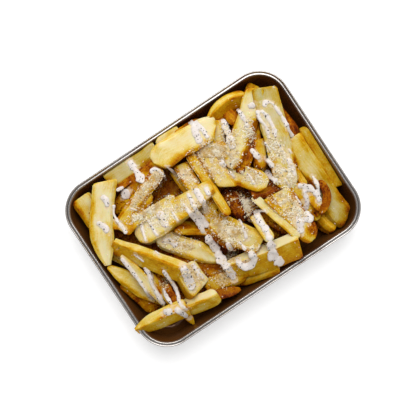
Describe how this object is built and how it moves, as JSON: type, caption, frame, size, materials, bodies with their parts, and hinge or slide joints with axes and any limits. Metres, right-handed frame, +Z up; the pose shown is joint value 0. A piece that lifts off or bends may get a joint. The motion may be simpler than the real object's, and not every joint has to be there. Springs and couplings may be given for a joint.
{
  "type": "potato wedges in a steel tray",
  "caption": "Small rectangular metal serving tray heaped with thick-cut potato wedges under strands of white sauce and grated cheese.",
  "frame": {"origin": "middle of the tray's flat underside, on the surface that it stands on", "axes": "+Z up, +X along the tray's long side"},
  "size_m": [0.232, 0.169, 0.052],
  "materials": {
    "steel": "polished, with fine wear streaks, dark where it mirrors the food",
    "food": "fried potato, pale on the cut faces and golden to brown at the edges, with an oily sheen"
  },
  "bodies": {
    "root": {"tray": "steel", "wedge_heap": "food"}
  },
  "joints": []
}
